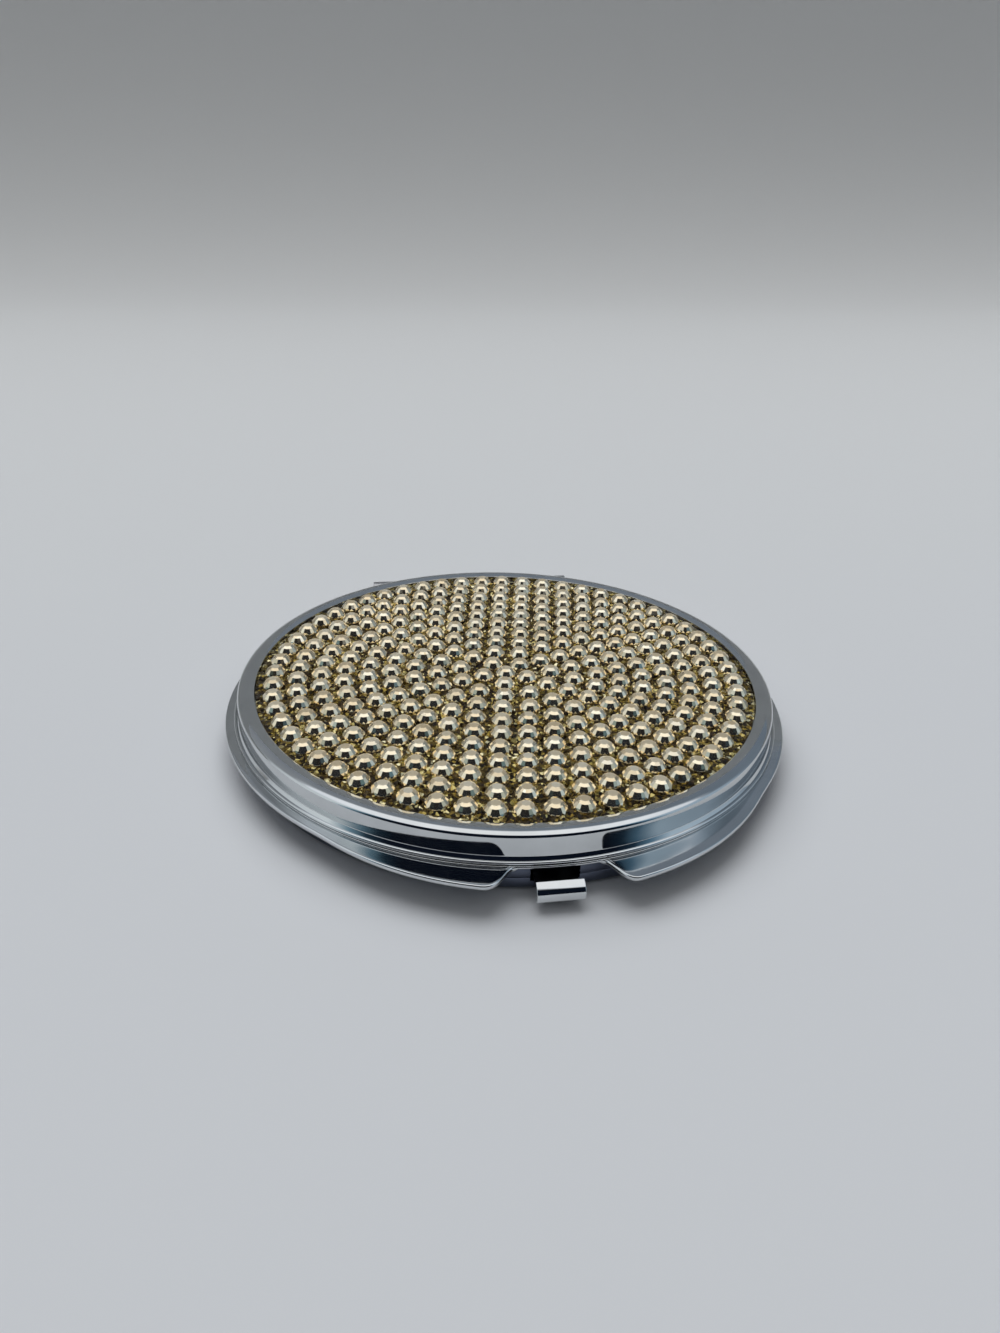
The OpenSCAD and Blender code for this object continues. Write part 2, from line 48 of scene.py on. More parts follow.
# The CAD model's sizes, in millimetres
LID_R, LID_IN, LID_TOP, LID_Z = 33.6, 33.15, 7.4, 3.95
INLAY_R, ANNULUS_Z, RECESS_Z, LID_UNDER = 31.5, 7.25, 6.25, 5.8
EDGE_R, CROWN_R, EDGE_TURN = 0.5, 1.5, 60.0
BEAD_C, BEAD_R, FLARE_H, SHEET = 34.0, 0.2, 0.4, 0.45
BASE_R, RIM_IN, BASE_Z, SEAM_Z, SEAM_R = 33.4, 32.95, 3.85, 1.8, 0.08
CORNER_R, NEST_OUT, NEST_IN, NEST_Z = 1.0, 32.9, 32.45, 2.9
SKIRT_R, SKIRT_Z, LIP_R, BEAD_UNDER = 35.3, 3.5, 0.3, 3.45
EAR_R, EAR_SHIFT, EAR_Z, FIT = 30.9, 6.9, 3.45, 0.05
# Where each ear leaves the bead, where it meets its circle, and how far it stands off it
EAR_LEFT, EAR_RIGHT = (4.4, 8.2, -0.4), (4.8, 8.0, 0.06)
HINGE_HALF, HINGE_Y, HINGE_Z, KNUCKLE_R = 15.5, 35.5, 3.95, 1.2
BORE_R, PIN_R, PITCH, GAP = 0.64, 0.6, 6.2, 0.2
LID_WEB_Z, BASE_WEB_Z, LEAF_EDGE = 4.7, 2.75, 34.1
MIRROR_R, LID_MIRROR_Z, LID_PAD_Z = 28.3, 4.35, 5.65
BASE_MIRROR_Z, BASE_BEZEL_Z, SAG, BEZEL_IN, BEZEL_T = 2.35, 3.4, 0.35, 27.5, 0.3
PANEL_Z, STONE_Z, STONE_R, STONE_H, GIRDLE, TABLE_R = 6.35, 6.95, 1.4, 1.2, 0.3, 0.65
RING_PITCH, STONE_PITCH, RINGS, RING_START = 2.925, 3.1, 10, -101.0
NOSE_TIP, STEM_BACK, STEM_FRONT, NOSE_Z, NOSE_T = 28.6, 29.3, 29.9, 0.95, 0.45
STEM_HALF, FOOT_HALF, FOOT_BACK, FOOT_FRONT, HOOK_R = 2, 3, 28.7, 30.3, 0.3
SLIDE_Z, SLIDE_T, SLIDE_FRONT, SLIDE_BACK = 1.5, 0.55, 32.05, 25.8
SLOT_FRONT, LATCH, SLIDE_HALF, WINDOW_HALF, NECK_HALF = 31.2, 29.1, 4, 2.2, 2.25
SLOT_HALF, SLOT_TOP, SLOT_R, GUIDE_TOP = 2.6, 3.35, 0.4, 2.2
BAR_BACK, BAR_FRONT, BAR_Z, BAR_HALF = 35.5, 36.8, 1.2, 2.5
TAIL_HALF, PEG_LOW, PEG_R = 1.5, 0.75, 0.22
# Radii between which a cut passes the case's wall
WALL_IN, WALL_OUT = 31.45, 34.5
# The ends of the hinge's cut in a ring run straight back outside this radius
CUT_R = 30.0


# Mesh tools

def finish_mesh(me, angle=SHARP_FROM):
    """Welds and smooths a closed mesh, with sharp edges above the angle."""
    bm = bmesh.new()
    bm.from_mesh(me)
    bmesh.ops.remove_doubles(bm, verts=bm.verts, dist=WELD)
    bmesh.ops.dissolve_degenerate(bm, edges=bm.edges, dist=SLIVER)
    bmesh.ops.recalc_face_normals(bm, faces=bm.faces)
    limit = math.radians(angle)
    for f in bm.faces:
        f.smooth = True
    for e in bm.edges:
        e.smooth = len(e.link_faces) == 2 and e.calc_face_angle(0.0) < limit
    bm.to_mesh(me)
    bm.free()


def add_object(name, me):
    ob = bpy.data.objects.new(name, me)
    bpy.context.scene.collection.objects.link(ob)
    return ob


def solid(name, verts, faces, angle=SHARP_FROM):
    me = bpy.data.meshes.new(name)
    me.from_pydata([(x * MM, y * MM, z * MM) for x, y, z in verts], [], faces)
    finish_mesh(me, angle)
    return add_object(name, me)


def apply(ob):
    """Makes the object's modifiers real."""
    dg = bpy.context.evaluated_depsgraph_get()
    me = bpy.data.meshes.new_from_object(ob.evaluated_get(dg))
    ob.modifiers.clear()
    ob.data = me
    finish_mesh(me)


def cut(ob, *cutters):
    for cutter in cutters:
        m = ob.modifiers.new("cut", "BOOLEAN")
        m.operation, m.solver, m.object = "DIFFERENCE", "EXACT", cutter
    apply(ob)
    for cutter in cutters:
        bpy.data.objects.remove(cutter)


def bevel(ob, width, segments):
    m = ob.modifiers.new("bevel", "BEVEL")
    m.width, m.segments, m.limit_method = width * MM, segments, "ANGLE"
    m.angle_limit = math.radians(BEVEL_FROM)
    apply(ob)
    return ob


def loft(loops):
    """Vertices and faces between closed loops that follow each other round a ring."""
    k_n, n = len(loops), len(loops[0])
    faces = [(k * n + j, k * n + (j + 1) % n, (k + 1) % k_n * n + (j + 1) % n,
              (k + 1) % k_n * n + j) for k in range(k_n) for j in range(n)]
    return [p for loop in loops for p in loop], faces


def arc(cr, cz, r, a, b, n):
    """Points on an arc from a to b degrees, both ends included."""
    return [(cr + r * math.cos(math.radians(a + (b - a) * i / n)),
             cz + r * math.sin(math.radians(a + (b - a) * i / n))) for i in range(n + 1)]


def line(p, q, n):
    """n points on the way from p to q, without p."""
    return [(p[0] + (q[0] - p[0]) * i / n, p[1] + (q[1] - p[1]) * i / n)
            for i in range(1, n + 1)]


def revolve(name, outline, columns=COLUMNS):
    """A ring or disc from a closed outline of (radius, height)."""
    loops = []
    for k in range(columns):
        c, s = math.cos(2 * math.pi * k / columns), math.sin(2 * math.pi * k / columns)
        loops.append([(r * c, r * s, z) for r, z in outline])
    return solid(name, *loft(loops))


def cut_point(r, half):
    """Plan point at radius r on the end, at x = half, of the hinge's cut in a ring."""
    far = max(r, CUT_R)
    return half * r / far, math.sqrt(far * far - half * half) * r / far


def hinge_ring(name, outline, clamp_r, clamp_z, half):
    """A ring whose part outside clamp_r and below clamp_z is cut away at the back,
    between x = -half and x = half."""
    # Sections this close to the ends of the cut make way for the ones right at the ends
    edge, near, apart = half / clamp_r, 0.006, 1e-4
    columns = []
    for k in range(COLUMNS):
        a = 2 * math.pi * k / COLUMNS
        c, s = math.cos(a), math.sin(a)
        if s > 0 and abs(abs(c) - edge) < near:
            continue
        inside = s > 0 and abs(c) < edge
        columns.append((a, [(min(r, clamp_r) * c, min(r, clamp_r) * s, z)
                            if inside and z < clamp_z else (r * c, r * s, z)
                            for r, z in outline]))
    for side in (1, -1):
        for clamped in (False, True):
            loop = []
            for r, z in outline:
                x, y = cut_point(min(r, clamp_r) if clamped and z < clamp_z else r, half)
                loop.append((side * x, y, z))
            a = math.acos(side * edge)
            columns.append((a + side * (apart if clamped else -apart), loop))
    columns.sort(key=lambda t: t[0])
    return solid(name, *loft([loop for a, loop in columns]))


def prism(name, outline, axis, low, high):
    """A straight prism of a closed outline along x, y or z."""
    n = len(outline)
    spot = {"x": lambda p, h: (h, p[0], p[1]), "y": lambda p, h: (p[0], h, p[1]),
            "z": lambda p, h: (p[0], p[1], h)}[axis]
    verts = [spot(p, h) for h in (low, high) for p in outline]
    faces = [tuple(range(n)), tuple(range(2 * n - 1, n - 1, -1))]
    faces += [(i, (i + 1) % n, n + (i + 1) % n, n + i) for i in range(n)]
    return solid(name, verts, faces)


def box(x0, x1, y0, y1, z0, z1):
    return prism("box", [(x0, y0), (x1, y0), (x1, y1), (x0, y1)], "z", z0, z1)


def web_slit(web_z):
    """Cutter for the slit in a wall through which a leaf's web passes."""
    return box(-HINGE_HALF - FIT, HINGE_HALF + FIT, 25, 34, web_z - FIT, web_z + SHEET + FIT)


def join(name, parts):
    """One object of several closed shells."""
    bm = bmesh.new()
    for o in parts:
        bm.from_mesh(o.data)
    me = bpy.data.meshes.new(name)
    bm.to_mesh(me)
    bm.free()
    for o in parts:
        bpy.data.objects.remove(o)
    return add_object(name, me)


def back_arc(r, half, n=40):
    """Plan points at radius r at the back, from x = -half to x = half."""
    xs = [-half + 2 * half * i / n for i in range(n + 1)]
    return [(x, math.sqrt(r * r - x * x)) for x in xs]


def sector(r0, r1, half):
    """Plan outline between two radii at the back, from x = -half to x = half."""
    return back_arc(r0, half) + back_arc(r1, half)[::-1]


# Materials

def material(name):
    m = bpy.data.materials.new(name)
    m.use_nodes = True
    nt = m.node_tree
    return m, nt, nt.nodes["Principled BSDF"]


def noise(nt, scale, detail, rough=0.5, squeeze=None):
    tc = nt.nodes.new("ShaderNodeTexCoord")
    source = tc.outputs["Object"]
    if squeeze:
        mp = nt.nodes.new("ShaderNodeMapping")
        mp.inputs["Scale"].default_value = squeeze
        nt.links.new(source, mp.inputs["Vector"])
        source = mp.outputs["Vector"]
    n = nt.nodes.new("ShaderNodeTexNoise")
    n.inputs["Scale"].default_value = scale
    n.inputs["Detail"].default_value = detail
    n.inputs["Roughness"].default_value = rough
    nt.links.new(source, n.inputs["Vector"])
    return n


def ramp(nt, source, stops):
    """A colour ramp on the source, from stops of (position, colour)."""
    r = nt.nodes.new("ShaderNodeValToRGB")
    while len(r.color_ramp.elements) < len(stops):
        r.color_ramp.elements.new(0.5)
    for e, (pos, col) in zip(r.color_ramp.elements, stops):
        e.position = pos
        e.color = tuple(col) + (1.0,)
    nt.links.new(source, r.inputs["Fac"])
    return r.outputs["Color"]


def grey(v):
    return (v, v, v)


def bump(nt, bsdf, source, distance):
    b = nt.nodes.new("ShaderNodeBump")
    b.inputs["Distance"].default_value = distance
    nt.links.new(source, b.inputs["Height"])
    nt.links.new(b.outputs["Normal"], bsdf.inputs["Normal"])


def chrome(name, low, high, rough, ripple=0.0):
    """Plated metal between two colours, hazy and worn in patches."""
    m, nt, bsdf = material(name)
    bsdf.inputs["Metallic"].default_value = 1.0
    haze = noise(nt, 190.0, 4.0, 0.6)
    nt.links.new(ramp(nt, haze.outputs["Fac"], [(0.3, low), (0.7, high)]),
                 bsdf.inputs["Base Color"])
    wear = noise(nt, 700.0, 5.0, 0.7)
    nt.links.new(ramp(nt, wear.outputs["Fac"], [(0.35, grey(rough[0])),
                                                (0.75, grey(rough[1]))]),
                 bsdf.inputs["Roughness"])
    if ripple:
        bump(nt, bsdf, noise(nt, 330.0, 2.0, 0.4).outputs["Fac"], ripple)
    return m


def brushed(name, colour, rough):
    """Unplated metal with fine lines along x."""
    m, nt, bsdf = material(name)
    bsdf.inputs["Metallic"].default_value = 1.0
    n = noise(nt, 1.0, 2.0, 0.5, (300.0, 9000.0, 9000.0))
    nt.links.new(ramp(nt, n.outputs["Fac"], [(0.3, tuple(v * 0.85 for v in colour)),
                                              (0.7, colour)]), bsdf.inputs["Base Color"])
    nt.links.new(ramp(nt, n.outputs["Fac"], [(0.3, grey(rough[0])), (0.7, grey(rough[1]))]),
                 bsdf.inputs["Roughness"])
    bump(nt, bsdf, n.outputs["Fac"], 0.000004)
    return m


def flake_normals(nt, bsdf, scale, amount):
    """Turns each cell of a Voronoi pattern its own way, as flakes of glitter lie."""
    tc = nt.nodes.new("ShaderNodeTexCoord")
    v = nt.nodes.new("ShaderNodeTexVoronoi")
    v.inputs["Scale"].default_value = scale
    nt.links.new(tc.outputs["Object"], v.inputs["Vector"])
    centre = nt.nodes.new("ShaderNodeVectorMath")
    centre.operation = "SUBTRACT"
    nt.links.new(v.outputs["Color"], centre.inputs[0])
    centre.inputs[1].default_value = (0.5, 0.5, 0.5)
    size = nt.nodes.new("ShaderNodeVectorMath")
    size.operation = "SCALE"
    size.inputs["Scale"].default_value = amount
    nt.links.new(centre.outputs["Vector"], size.inputs[0])
    geo = nt.nodes.new("ShaderNodeNewGeometry")
    add = nt.nodes.new("ShaderNodeVectorMath")
    add.operation = "ADD"
    nt.links.new(geo.outputs["Normal"], add.inputs[0])
    nt.links.new(size.outputs["Vector"], add.inputs[1])
    unit = nt.nodes.new("ShaderNodeVectorMath")
    unit.operation = "NORMALIZE"
    nt.links.new(add.outputs["Vector"], unit.inputs[0])
    nt.links.new(unit.outputs["Vector"], bsdf.inputs["Normal"])
    return v


def glitter(name):
    m, nt, bsdf = material(name)
    bsdf.inputs["Metallic"].default_value = 0.8
    v = flake_normals(nt, bsdf, 2300.0, 1.3)
    sep = nt.nodes.new("ShaderNodeSeparateColor")
    nt.links.new(v.outputs["Color"], sep.inputs["Color"])
    nt.links.new(ramp(nt, sep.outputs["Blue"], [
        (0.0, (0.02, 0.009, 0.001)), (0.35, (0.05, 0.027, 0.002)), (0.6, (0.13, 0.085, 0.008)),
        (0.8, (0.34, 0.24, 0.04)), (0.93, (0.7, 0.58, 0.22)), (1.0, (1.0, 0.92, 0.6))]),
        bsdf.inputs["Base Color"])
    bsdf.inputs["Roughness"].default_value = 0.25
    bsdf.inputs["Coat Weight"].default_value = 0.3
    bsdf.inputs["Coat Roughness"].default_value = 0.06
    return m


def stone_material(name, metallic):
    """Foiled champagne glass, each stone in a shade of its own."""
    m, nt, bsdf = material(name)
    bsdf.inputs["Metallic"].default_value = metallic
    geo = nt.nodes.new("ShaderNodeNewGeometry")
    nt.links.new(ramp(nt, geo.outputs["Random Per Island"], [
        (0.0, (0.8, 0.66, 0.44)), (0.5, (0.91, 0.79, 0.57)), (1.0, (0.98, 0.91, 0.73))]),
        bsdf.inputs["Base Color"])
    n = noise(nt, 1500.0, 2.0)
    nt.links.new(ramp(nt, n.outputs["Fac"], [(0.3, grey(0.05)), (0.8, grey(0.12))]),
                 bsdf.inputs["Roughness"])
    return m


def mirror_glass(name):
    m, nt, bsdf = material(name)
    bsdf.inputs["Metallic"].default_value = 1.0
    n = noise(nt, 60.0, 4.0, 0.6)
    nt.links.new(ramp(nt, n.outputs["Fac"], [(0.3, (0.86, 0.88, 0.88)),
                                             (0.7, (0.9, 0.91, 0.92))]),
                 bsdf.inputs["Base Color"])
    nt.links.new(ramp(nt, n.outputs["Fac"], [(0.4, grey(0.01)), (0.8, grey(0.03))]),
                 bsdf.inputs["Roughness"])
    return m


def foam(name, colour):
    m, nt, bsdf = material(name)
    n = noise(nt, 3500.0, 4.0, 0.7)
    nt.links.new(ramp(nt, n.outputs["Fac"], [(0.3, tuple(v * 0.8 for v in colour)),
                                              (0.7, colour)]), bsdf.inputs["Base Color"])
    bsdf.inputs["Roughness"].default_value = 0.85
    bump(nt, bsdf, n.outputs["Fac"], 0.00004)
    return m


COOL = ((0.58, 0.60, 0.61), (0.66, 0.68, 0.69))
CHROME = chrome("bright_chrome", *COOL, (0.04, 0.09))
LID_CHROME = chrome("lid_chrome", *COOL, (0.05, 0.1), 0.000006)
RIM_CHROME = chrome("pressed_chrome", *COOL, (0.05, 0.11), 0.00001)
STEEL = brushed("plain_steel", (0.52, 0.52, 0.53), (0.22, 0.36))
PIN_STEEL = brushed("pin_steel", (0.42, 0.42, 0.43), (0.2, 0.3))
# Dark navy chrome: painted shade, for the pan and the wall under the bead, which lie in the
# compact's shadow
PAINTED_SHADE_CHROME = chrome("painted_shade_chrome", (0.13, 0.15, 0.2), (0.17, 0.19, 0.25), (0.12, 0.2))
# Near-black steel: painted shade, for the button's slide and neck, which sit in shadow behind
# the bar
PAINTED_SHADE_STEEL = brushed("painted_shade_steel", (0.05, 0.05, 0.055), (0.3, 0.45))
GLITTER = glitter("glitter_resin")
STONES = stone_material("champagne_stones", 0.95)
TABLES = stone_material("foil_behind_table", 0.58)
MIRROR = mirror_glass("silvered_glass")
FOAM = foam("white_foam", (0.78, 0.78, 0.76))
FILM = foam("adhesive_film", (0.7, 0.66, 0.55))


def second_material(ob, mat, test):
    """Gives another material to the faces that pass the test."""
    ob.data.materials.append(mat)
    for f in ob.data.polygons:
        f.material_index = int(test(f))


def dress(ob, mat):
    ob.data.materials.clear()
    ob.data.materials.append(mat)


def place(ob, body, node, mat):
    """Dresses a finished piece and sets it on its body in place of the CAD node."""
    dress(ob, mat)
    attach(ob, body)
    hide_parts(node)


# Lid

def make_lid():
    turn = math.radians(EDGE_TURN)
    side = (LID_R - EDGE_R, LID_TOP - CROWN_R + (CROWN_R - EDGE_R) * math.sin(turn))
    crown = (side[0] - (CROWN_R - EDGE_R) * math.cos(turn), LID_TOP - CROWN_R)
    dx, dz = crown[0] - INLAY_R, crown[1] - ANNULUS_Z
    fall = math.degrees(math.atan2(dz, dx) + math.asin(CROWN_R / math.hypot(dx, dz)))
    out = [(0, RECESS_Z), (15, RECESS_Z), (INLAY_R - 0.05, RECESS_Z),
           (INLAY_R, RECESS_Z + 0.05)]
    out += [(INLAY_R, ANNULUS_Z - 0.06), (INLAY_R + 0.02, ANNULUS_Z - 0.01),
            (INLAY_R + 0.08, ANNULUS_Z + 0.02)]
    out += arc(crown[0], crown[1], CROWN_R, 90 + fall, EDGE_TURN, 14)
    out += arc(side[0], side[1], EDGE_R, EDGE_TURN, 0, 12)[1:]
    # A fillet leads from the wall into the slope that runs down to the bead
    fillet = 0.3
    fillet_z = LID_Z + BEAD_R + BEAD_R * math.sin(math.radians(135)) + FLARE_H + 0.089
    out += line(out[-1], (LID_R, fillet_z), 3)
    out += arc(LID_R + fillet, fillet_z, fillet, 180, 212.9, 5)[1:]
    out += arc(BEAD_C, LID_Z + BEAD_R, BEAD_R, 135, -90, 18)
    out += [(LID_R, LID_Z), (LID_IN + 0.06, LID_Z), (LID_IN, LID_Z + 0.06), (LID_IN, side[1]),
            (INLAY_R + SHEET, ANNULUS_Z - SHEET), (INLAY_R + SHEET, LID_UNDER),
            (15, LID_UNDER), (0, LID_UNDER)]
    ob = hinge_ring("lid_cap", out, LID_R, LID_WEB_Z + SHEET + FIT, HINGE_HALF + GAP)
    cut(ob, web_slit(LID_WEB_Z))
    place(ob, "lid", "lid_shell", LID_CHROME)


def make_panel():
    """Resin disc whose top is broken up into flakes that lie at odd angles."""
    rnd = random.Random(11)
    count, spacing, step = 74, 0.42, 0.45
    verts, faces, last = [], [], None
    for k in range(count):
        r = INLAY_R - 0.1 - spacing * k
        n = max(6, int(2 * math.pi * r / step))
        row = list(range(len(verts), len(verts) + n))
        for i in range(n):
            a, rr, z = 2 * math.pi * (i + 0.5 * (k % 2)) / n, r, STONE_Z - 0.05
            if k:
                rr += rnd.uniform(-0.1, 0.1)
                z = STONE_Z + rnd.uniform(-0.1, 0.2 if k < 3 else 0.33)
                a += rnd.uniform(-0.12, 0.12) / r
            verts.append((rr * math.cos(a), rr * math.sin(a), z))
        if last:
            faces += stitch(last, row)
        else:
            rim = row
        last = row
    centre = len(verts)
    verts.append((0, 0, STONE_Z - 0.03))
    faces += [(last[i], last[(i + 1) % len(last)], centre) for i in range(len(last))]
    n = len(rim)
    low = list(range(len(verts), len(verts) + n))
    verts += [(verts[i][0], verts[i][1], PANEL_Z) for i in rim]
    faces += [(i, low[i], low[(i + 1) % n], (i + 1) % n) for i in rim]
    faces.append(tuple(reversed(low)))
    ob = solid("glitter_disc", verts, faces, 1)
    place(ob, "lid", "glitter_panel", GLITTER)


def stitch(a, b):
    """Triangles between two closed rows of points with different counts."""
    faces, i, j = [], 0, 0
    na, nb = len(a), len(b)
    while i < na or j < nb:
        if j >= nb or (i < na and (i + 1) / na <= (j + 1) / nb):
            faces.append((a[i % na], a[(i + 1) % na], b[j % nb]))
            i += 1
        else:
            faces.append((a[i % na], b[(j + 1) % nb], b[j % nb]))
            j += 1
    return faces


def make_stones():
    """Faceted flat-backed stones, each turned and tipped a little its own way."""
    facets = 16
    rnd = random.Random(5)
    spots = [(0.0, 0.0)]
    for k in range(1, RINGS + 1):
        n = math.floor(2 * math.pi * k * RING_PITCH / STONE_PITCH)
        for i in range(n):
            a = math.radians(RING_START + 360.0 * i / n)
            spots.append((k * RING_PITCH * math.cos(a), k * RING_PITCH * math.sin(a)))
    verts, faces = [], []
    for x, y in spots:
        turn = rnd.uniform(0, math.pi / 4)
        dx, dy = rnd.uniform(-0.05, 0.05), rnd.uniform(-0.05, 0.05)
        tilt, lean = math.radians(rnd.uniform(0, 2.2)), rnd.uniform(0, 2 * math.pi)
        table = TABLE_R * rnd.uniform(0.92, 1.04)
        base = len(verts)
        # Radius and height of each row of corners, and its turn in facets
        rows = [(STONE_R - 0.03, 0.0, 0.0), (STONE_R - 0.03, GIRDLE - 0.04, 0.0),
                (STONE_R - 0.13, GIRDLE + 0.2, 0.5), (STONE_R - 0.5, GIRDLE + 0.62, 0.5),
                (table - 0.05, STONE_H - 0.08, 0.5), (table - 0.12, STONE_H - 0.05, 0.5)]
        for r, z, shift in rows:
            for i in range(facets):
                a = turn + 2 * math.pi * (i + shift) / facets
                px, py = r * math.cos(a), r * math.sin(a)
                pz = z
                if z > 0:
                    pz = z + math.sin(tilt) * (px * math.cos(lean) + py * math.sin(lean)) * 0.9
                    pz = min(pz, STONE_H)
                verts.append((x + dx + px, y + dy + py, STONE_Z + pz))
        b = [base + facets * k for k in range(len(rows))]
        faces.append(tuple(b[0] + i for i in reversed(range(facets))))
        for i in range(facets):
            j = (i + 1) % facets
            faces.append((b[0] + i, b[0] + j, b[1] + j, b[1] + i))
            faces.append((b[1] + i, b[1] + j, b[2] + i))
            faces.append((b[1] + j, b[2] + j, b[2] + i))
            faces += [(low + i, low + j, up + j, up + i) for low, up in zip(b[2:], b[3:])]
        faces.append(tuple(b[-1] + i for i in range(facets)))
    ob = solid("set_stones", verts, faces, 12)
    place(ob, "lid", "rhinestones", STONES)
    second_material(ob, TABLES, lambda f: f.normal.z > 0.85)


# Mirrors and their frames

def make_mirrors():
    z0, z1, edge = LID_MIRROR_Z, LID_PAD_Z, 0.12
    ob = revolve("plain_mirror", [(0, z0), (15, z0), (MIRROR_R - edge, z0),
                                  (MIRROR_R, z0 + edge), (MIRROR_R, z1), (15, z1), (0, z1)],
                 columns=192)
    place(ob, "lid", "lid_mirror", MIRROR)
    # The magnifying mirror's face is dished
    n = 24
    face = [(BEZEL_IN * i / n, BASE_BEZEL_Z - SAG * (1 - (i / n) ** 2)) for i in range(n + 1)]
    out = [(0, BASE_MIRROR_Z)] + face + [(MIRROR_R - edge, BASE_BEZEL_Z),
                                         (MIRROR_R, BASE_BEZEL_Z - edge),
                                         (MIRROR_R, BASE_MIRROR_Z)]
    place(revolve("magnifying_mirror", out, columns=192), "base", "base_mirror", MIRROR)


def frame_outline(outer, z, way, inner_leg, outer_leg_r, outer_leg):
    """Section of a frame ring. way is 1 with its face up and -1 with its face down."""
    r, leg, leg_r = BEZEL_T / 2, 0.5, MIRROR_R + 0.1
    out = [(outer, 0)] + arc(outer - r, r, r, 0, 90, 8) + [(30.0, 2 * r)]
    out += arc(BEZEL_IN + r, r, r, 90, 180, 8) + [(BEZEL_IN, 0)]
    out += [(leg_r, 0), (leg_r, -inner_leg), (leg_r + leg, -inner_leg), (leg_r + leg, 0)]
    out += [(outer_leg_r - leg, 0), (outer_leg_r - leg, -outer_leg),
            (outer_leg_r, -outer_leg), (outer_leg_r, 0)]
    return [(p[0], z + way * p[1]) for p in out]


def make_frames():
    # The catch passes both frames. The lower one also leaves room for the guide, the
    # upper one for the catch's foot
    window = (-2.4, 2.4, -FOOT_FRONT, -MIRROR_R)
    out = frame_outline(RIM_IN - FIT, BASE_BEZEL_Z, 1, 0.95, 31.9, BASE_BEZEL_Z - SHEET)
    ob = revolve("lower_frame", out, columns=256)
    cut(ob, box(*window, SHEET - 0.01, 5), box(-5.1, 5.1, -34, -27, 0, GUIDE_TOP))
    place(ob, "base", "base_bezel", CHROME)
    out = frame_outline(LID_IN - FIT, LID_MIRROR_Z, -1, 1.2, 31.0, LID_UNDER - LID_MIRROR_Z)
    ob = revolve("lid_frame", out, columns=256)
    cut(ob, box(*window, 3.8, 5.25), box(-3.4, 3.4, -31.3, -MIRROR_R, 5.24, 7))
    place(ob, "lid", "lid_bezel", CHROME)


# Lower case

def make_pan():
    out = [(0, 0), (16, 0)] + arc(BASE_R - CORNER_R, CORNER_R, CORNER_R, -90, 0, 14)
    out += [(BASE_R, SEAM_Z - SEAM_R)] + arc(BASE_R - SEAM_R, SEAM_Z - SEAM_R, SEAM_R, 0, 90, 4)
    edge, inner_r = 0.08, CORNER_R / 2
    out += [(NEST_OUT, SEAM_Z), (NEST_OUT, NEST_Z - edge), (NEST_OUT - edge, NEST_Z),
            (NEST_IN + edge, NEST_Z), (NEST_IN, NEST_Z - edge)]
    out += arc(NEST_IN - inner_r, SHEET + inner_r, inner_r, 0, -90, 8)
    out += [(16, SHEET), (0, SHEET)]
    ob = revolve("bottom_pan", out)
    # The button's slot at the front, and room for the base leaf at the back
    cut(ob, box(-SLOT_HALF, SLOT_HALF, -WALL_OUT, -WALL_IN, SLIDE_Z - 0.15, 5),
        prism("slit", sector(WALL_IN, 34, HINGE_HALF + GAP), "z", SEAM_Z, 5))
    # The whole pan gets the dark navy chrome, painted shade for the shadow that it sits in and
    # reflects
    place(ob, "base", "base_pan", PAINTED_SHADE_CHROME)


def ear_edge(phi, grow):
    """Distance of the edge from the centre, phi from the front, and how far it belongs to
    the ear (1) rather than to the skirt (0). The two circles run softly into each other."""
    c, s = math.cos(phi), math.sin(phi)
    ear = EAR_SHIFT * c + math.sqrt(EAR_R ** 2 - (EAR_SHIFT * s) ** 2) + grow
    gap, soft, swell = ear - SKIRT_R, 0.06, 0.007
    blend = math.sqrt(gap * gap + soft)
    return 0.5 * (ear + SKIRT_R + blend) - swell, 0.5 + 0.5 * gap / blend


